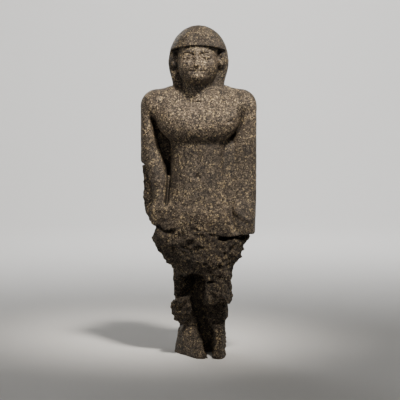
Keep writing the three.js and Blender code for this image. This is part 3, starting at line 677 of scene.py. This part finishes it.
def largest_part(points, quads):
    """The stone without the crumbs that the lumps leave floating beside it."""
    part = np.arange(len(points))
    settled = False
    while not settled:
        least = np.repeat(part[quads].min(axis=1), 4)
        lower = part.copy()
        np.minimum.at(lower, quads.ravel(), least)
        lower = lower[lower]
        settled = np.array_equal(lower, part)
        part = lower
    largest = np.bincount(part).argmax()
    kept = part == largest
    number = np.cumsum(kept) - 1
    return points[kept], number[quads[kept[quads[:, 0]]]]


def fitted_to_solid(points):
    """The points in metres, in the box that the solid fills, and the box that they filled in squares."""
    low, high = points.min(axis=0), points.max(axis=0)
    share = (points - low) / (high - low)
    return solid_low + share * solid_span, low, high


def mesh_of(name, points, quads):
    mesh = bpy.data.meshes.new(name)
    mesh.vertices.add(len(points))
    mesh.vertices.foreach_set("co", points.ravel())
    mesh.loops.add(quads.size)
    mesh.loops.foreach_set("vertex_index", quads.ravel())
    mesh.polygons.add(len(quads))
    mesh.polygons.foreach_set("loop_start", np.arange(len(quads)) * quads.shape[1])
    mesh.update(calc_edges=True)
    mesh.validate()
    return mesh


def thinned(piece, triangles):
    """Fewer triangles for the same form, by collapsing the edges that matter least."""
    quads = len(piece.data.polygons)
    decimate = piece.modifiers.new("fewer_faces", "DECIMATE")
    decimate.ratio = min(1, triangles / (2 * quads))
    graph = bpy.context.evaluated_depsgraph_get()
    mesh = bpy.data.meshes.new_from_object(piece.evaluated_get(graph))
    piece.modifiers.remove(decimate)
    piece.data = mesh


# Painted light: a pool of light painted on the chest, shoulders and face, with the rest of the skin darker
def painted_light(y, z):
    """How much painted light the skin gets: a painted pool of light, most on the chest and shoulders and on
    the face.
    """
    chest = bump(z, 12.4, 1.5)
    face_part = 0.85 * ramp(CHIN - 0.3, CHIN, z) * ramp(FRINGE, FRINGE - 0.2, z) * ramp(-0.5, -0.7, y)
    return np.maximum(chest * ramp(CHIN, CHIN - 0.4, z), face_part)


HOLLOW_REACHES = (0.12, 0.3, 0.6)  # squares out from the surface
SLICES = 40  # by height, because the stone leaves out the forms that a slice doesn't reach


def hollowness(squares, normals):
    """How much stone stands close in front of each point of the surface, from 0 to 1, which darkens the
    colour as painted shade.
    """
    hollow = np.zeros(len(squares))
    order = np.argsort(squares[:, 2])
    for reach in HOLLOW_REACHES:
        for part in np.array_split(order, SLICES):
            p = squares[part] + normals[part] * reach
            hollow[part] += np.clip(1 - stone(*p.T) / reach, 0, 1) / len(HOLLOW_REACHES)
    return hollow


def vectors(elements, name, kind):
    values = np.empty(len(elements) * 3, kind)
    elements.foreach_get(name, values)
    return values.reshape(-1, 3)


def mark_breaks(mesh, low, high):
    """Stores how broken and how hollow the surface is at each point, and how much painted light it gets, for
    the stone's colours: painted shade in the hollows and a painted pool of light on the chest, shoulders and
    face.
    """
    share = (vectors(mesh.vertices, "co", np.float64) - solid_low) / solid_span
    squares = low + share * (high - low)
    marks = {
        "broken": damage(*squares.T),
        # How hollow each point is, for the painted shade in hollows, creases and recesses
        "hollow": hollowness(squares, vectors(mesh.vertex_normals, "vector", np.float32)),
        # For the painted pool of light on the chest, shoulders and face
        "painted_light": painted_light(squares[:, 1], squares[:, 2]),
    }
    for name, values in marks.items():
        attribute = mesh.attributes.new(name, "FLOAT", "POINT")
        attribute.data.foreach_set("value", values.astype(np.float32))


def carved_stone():
    low = np.array([-3.3, -2.2, -2 * STEP])
    high = np.array([3.3, 2.1, SQUARES_HIGH + 0.3])
    points, quads = largest_part(*surface(sample(low, high), low))
    points, first, last = fitted_to_solid(points)
    piece = bpy.data.objects.new("noble", mesh_of("noble", points, quads))
    bpy.context.scene.collection.objects.link(piece)
    thinned(piece, TRIANGLES)
    mark_breaks(piece.data, first, last)
    piece.data.shade_smooth()
    return piece


# The stone's looks


class Nodes:
    """Short calls to lay out a material's nodes."""

    def __init__(self, name):
        self.material = bpy.data.materials.new(name)
        self.material.use_nodes = True
        self.tree = self.material.node_tree
        self.shader = self.tree.nodes["Principled BSDF"]
        self.place = self.add("ShaderNodeTexCoord").outputs["Object"]

    def add(self, kind, **values):
        node = self.tree.nodes.new(kind)
        for key, value in values.items():
            setattr(node, key, value)
        return node

    def put(self, socket, value):
        if isinstance(value, bpy.types.NodeSocket):
            self.tree.links.new(value, socket)
        else:
            socket.default_value = value

    def noise(self, scale, detail, rough):
        node = self.add("ShaderNodeTexNoise")
        self.put(node.inputs["Vector"], self.place)
        node.inputs["Scale"].default_value = scale
        node.inputs["Detail"].default_value = detail
        node.inputs["Roughness"].default_value = rough
        return node.outputs["Fac"]

    def crystals(self, scale, place):
        node = self.add("ShaderNodeTexVoronoi")
        self.put(node.inputs["Vector"], place)
        node.inputs["Scale"].default_value = scale
        return node.outputs

    def parts(self, colour):
        """The three parts of a colour, which are random numbers where the colour is a crystal's."""
        node = self.add("ShaderNodeSeparateColor")
        self.put(node.inputs["Color"], colour)
        return node.outputs

    def grey(self, value):
        node = self.add("ShaderNodeCombineColor")
        for socket in node.inputs[:3]:
            self.put(socket, value)
        return node.outputs["Color"]

    def remap(self, value, start, end, low=0.0, high=1.0):
        """Low up to the start, high from the end, and smooth between them."""
        node = self.add("ShaderNodeMapRange", interpolation_type="SMOOTHSTEP")
        for socket, number in zip(node.inputs, (value, start, end, low, high)):
            self.put(socket, number)
        return node.outputs["Result"]

    def math(self, operation, a, b):
        node = self.add("ShaderNodeMath", operation=operation)
        self.put(node.inputs[0], a)
        self.put(node.inputs[1], b)
        return node.outputs["Value"]

    def blend(self, factor, a, b, kind="MIX"):
        node = self.add("ShaderNodeMix", data_type="RGBA", blend_type=kind)
        self.put(node.inputs["Factor"], factor)
        self.put(node.inputs[6], a)
        self.put(node.inputs[7], b)
        return node.outputs[2]

    def warped(self, strength, scale):
        """Places pushed about by noise, so that crystals aren't all straight-sided."""
        noise = self.add("ShaderNodeTexNoise")
        self.put(noise.inputs["Vector"], self.place)
        noise.inputs["Scale"].default_value = scale
        push = self.add("ShaderNodeVectorMath", operation="MULTIPLY_ADD")
        self.put(push.inputs[0], noise.outputs["Color"])
        push.inputs[1].default_value = (strength,) * 3
        self.put(push.inputs[2], self.place)
        return push.outputs["Vector"]

    def attribute(self, name):
        return self.add("ShaderNodeAttribute", attribute_name=name).outputs["Fac"]


# The rock's minerals
DARK = (0.016, 0.012, 0.01, 1)
BROWN = (0.092, 0.07, 0.05, 1)
TAN = (0.31, 0.236, 0.158, 1)
GOLD = (0.6, 0.45, 0.24, 1)
CREAM = (0.7, 0.56, 0.35, 1)

# Crystals in a metre
LARGE_CRYSTALS = 255
SMALL_CRYSTALS = 470


def mineral_colour(n, large, small):
    """Dark, brown and tan crystals of two sizes, with clusters of gold and cream ones."""
    tone = n.math("MULTIPLY", large[0], 0.42)
    tone = n.math("ADD", tone, n.math("MULTIPLY", small[0], 0.36))
    tone = n.math("ADD", tone, n.math("MULTIPLY", n.noise(scale=75, detail=5, rough=0.75), 0.6))
    colour = n.blend(n.remap(tone, 0.37, 0.75), DARK, BROWN)
    colour = n.blend(n.remap(tone, 0.72, 1.0), colour, TAN)
    clusters = n.math("MULTIPLY", n.noise(scale=28, detail=4, rough=0.7), 0.3)
    gold = n.math("ADD", large[2], clusters)
    colour = n.blend(n.remap(gold, 1.06, 1.12, 0, 0.9), colour, GOLD)
    cream = n.math("ADD", small[2], clusters)
    return n.blend(n.remap(cream, 1.11, 1.15, 0, 0.9), colour, CREAM)


def painted_light_shade_and_weathering(n, broken):
    """How light the rock is: painted shade in hollows, paler where it is broken, a painted pool of light on
    the chest, shoulders and face, and patchy.
    """
    # Painted shade: darker where stone stands close in front, in hollows, creases and recesses
    painted_shade_in_hollows = n.remap(n.attribute("hollow"), 0.25, 0.95, 1.0, 0.25)
    on_breaks = n.remap(broken, 0.0, 0.9, 0.95, 1.0)
    # Painted light: lighter on the chest, shoulders and face, and darker elsewhere
    painted_light_on_skin = n.remap(n.attribute("painted_light"), 0, 1, 0.6, 1.1)
    patches = n.remap(n.noise(scale=12, detail=6, rough=0.65), 0.3, 0.7, 0.72, 1.24)
    shade = n.math("MULTIPLY", n.math("MULTIPLY", painted_shade_in_hollows, on_breaks), painted_light_on_skin)
    return n.math("MULTIPLY", shade, patches)


def grain(n, crystal_distance, broken):
    """The fine relief of the crystals, strongest on the breaks."""
    relief = n.add("ShaderNodeBump")
    fine = n.noise(scale=330, detail=5, rough=0.75)
    height = n.math("ADD", fine, n.math("MULTIPLY", crystal_distance, 0.6))
    n.put(relief.inputs["Height"], height)
    n.put(relief.inputs["Strength"], n.remap(broken, 0, 1, 0.4, 1.0))
    relief.inputs["Distance"].default_value = 0.008
    return relief.outputs["Normal"]


def granite():
    n = Nodes("granite")
    place = n.warped(strength=0.008, scale=150)
    large = n.crystals(LARGE_CRYSTALS, place)
    small = n.crystals(SMALL_CRYSTALS, place)
    broken = n.attribute("broken")
    colour = mineral_colour(n, n.parts(large["Color"]), n.parts(small["Color"]))
    # The painted shade and painted light darken and lighten the mineral colours here, with the patches and
    # the paler breaks
    colour = n.blend(1.0, colour, n.grey(painted_light_shade_and_weathering(n, broken)), "MULTIPLY")
    n.put(n.shader.inputs["Base Color"], colour)
    n.put(n.shader.inputs["Roughness"], n.remap(broken, 0, 0.5, 0.52, 0.85))
    n.shader.inputs["Specular IOR Level"].default_value = 0.35
    n.put(n.shader.inputs["Normal"], grain(n, small["Distance"], broken))
    return n.material


# The floor, light and camera

CAMERA_DISTANCE = 4.0
CAMERA_AZIMUTH = 4  # degrees to the statue's left of straight in front
CAMERA_HEIGHT = 0.7
SENSOR_WIDTH = 36  # millimetres
METRES_PER_PIXEL = 0.00304
PICTURE = 400  # pixels across and up
STATUE_COLUMN = 198.5
UNDERSIDE_ROW = 355

COVE_RADIUS = 7.0
COVE_BEND = 2.0
COVE_HEIGHT = 6.0
COVE_STEPS = 12
COVE_SIDES = 96

CHEST = (0, 0, 0.75)
BACKDROP_LAMPS = ((0, 250), (90, 100), (180, 50), (270, 100))  # degrees round the statue, and watts
BACKDROP_LAMP_OUT = 3.0
BACKDROP_LAMP_UP = 3.6
BACKDROP_AIM_UP = 0.8


def plain(name, colour, roughness):
    material = bpy.data.materials.new(name)
    material.use_nodes = True
    shader = material.node_tree.nodes["Principled BSDF"]
    shader.inputs["Base Color"].default_value = (*colour, 1)
    shader.inputs["Roughness"].default_value = roughness
    return material


def cove():
    """The floor, which turns up far from the statue into a pale wall all round it."""
    profile_points = [(0.0, 0.0), (COVE_RADIUS - COVE_BEND, 0.0)]
    for step in range(1, COVE_STEPS + 1):
        turn = math.pi / 2 * step / COVE_STEPS
        reach = COVE_RADIUS - COVE_BEND + COVE_BEND * math.sin(turn)
        profile_points.append((reach, COVE_BEND * (1 - math.cos(turn))))
    profile_points.append((COVE_RADIUS, COVE_HEIGHT))
    mesh = bpy.data.meshes.new("floor")
    form = bmesh.new()
    corners = [form.verts.new((reach, 0, cad_low.z + rise)) for reach, rise in profile_points]
    lines = [form.edges.new(pair) for pair in zip(corners, corners[1:])]
    bmesh.ops.spin(
        form,
        geom=corners + lines,
        cent=(0, 0, 0),
        axis=(0, 0, 1),
        angle=2 * math.pi,
        steps=COVE_SIDES,
        use_merge=True,
    )
    bmesh.ops.remove_doubles(form, verts=form.verts, dist=1e-5)
    form.to_mesh(mesh)
    form.free()
    mesh.materials.append(plain("pale_floor", (0.72, 0.71, 0.69), 0.8))
    mesh.shade_smooth()
    floor = bpy.data.objects.new("floor", mesh)
    bpy.context.scene.collection.objects.link(floor)


def lamp(name, place, aim, size, power, colour=(1, 1, 1), spread=180):
    """A round lamp at a place, turned to its aim, with its power in watts and its spread in degrees."""
    light = bpy.data.lights.new(name, "AREA")
    light.shape = "DISK"
    light.size = size
    light.energy = power
    light.color = colour
    light.spread = math.radians(spread)
    lamp_object = bpy.data.objects.new(name, light)
    lamp_object.location = place
    lamp_object.rotation_euler = (Vector(aim) - Vector(place)).to_track_quat("-Z", "Y").to_euler()
    bpy.context.scene.collection.objects.link(lamp_object)


def light_backdrop():
    for turn, power in BACKDROP_LAMPS:
        side, ahead = math.sin(math.radians(turn)), math.cos(math.radians(turn))
        place = (BACKDROP_LAMP_OUT * side, BACKDROP_LAMP_OUT * ahead, BACKDROP_LAMP_UP)
        aim = (COVE_RADIUS * side, COVE_RADIUS * ahead, BACKDROP_AIM_UP)
        lamp(f"backdrop_{turn}", place, aim, size=2.0, power=power)


def dim_world():
    world = bpy.data.worlds.new("studio")
    world.use_nodes = True
    background = world.node_tree.nodes["Background"]
    background.inputs["Color"].default_value = (0.9, 0.92, 0.95, 1)
    background.inputs["Strength"].default_value = 0.05
    bpy.context.scene.world = world


def studio():
    lamp("key", (0.75, -1.4, 3.1), (0, 0, 0.6), size=0.5, power=2.6, colour=(1.0, 0.94, 0.86), spread=20)
    lamp("fill", (-1.8, -2.6, 1.2), CHEST, size=2.0, power=1.4)
    lamp("back", (-1.4, 2.4, 2.2), CHEST, size=1.0, power=14)
    light_backdrop()
    dim_world()


def camera():
    angle = math.radians(CAMERA_AZIMUTH)
    aim = Vector((0, 0, (UNDERSIDE_ROW - PICTURE / 2) * METRES_PER_PIXEL))
    rise = CAMERA_HEIGHT - aim.z
    flat = math.sqrt(CAMERA_DISTANCE**2 - rise**2)
    place = aim + Vector((math.sin(angle) * flat, -math.cos(angle) * flat, rise))
    view = bpy.data.cameras.new("camera")
    view.sensor_width = SENSOR_WIDTH
    view.lens = view.sensor_width * CAMERA_DISTANCE / (PICTURE * METRES_PER_PIXEL)
    view.shift_x = (PICTURE / 2 - STATUE_COLUMN) / PICTURE
    seen = bpy.data.objects.new("camera", view)
    seen.location = place
    seen.rotation_euler = (aim - place).to_track_quat("-Z", "Y").to_euler()
    bpy.context.scene.collection.objects.link(seen)
    bpy.context.scene.camera = seen


camera()
cove()
studio()
noble = carved_stone()
noble.data.materials.append(granite())
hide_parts("statue")
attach(noble, "root")
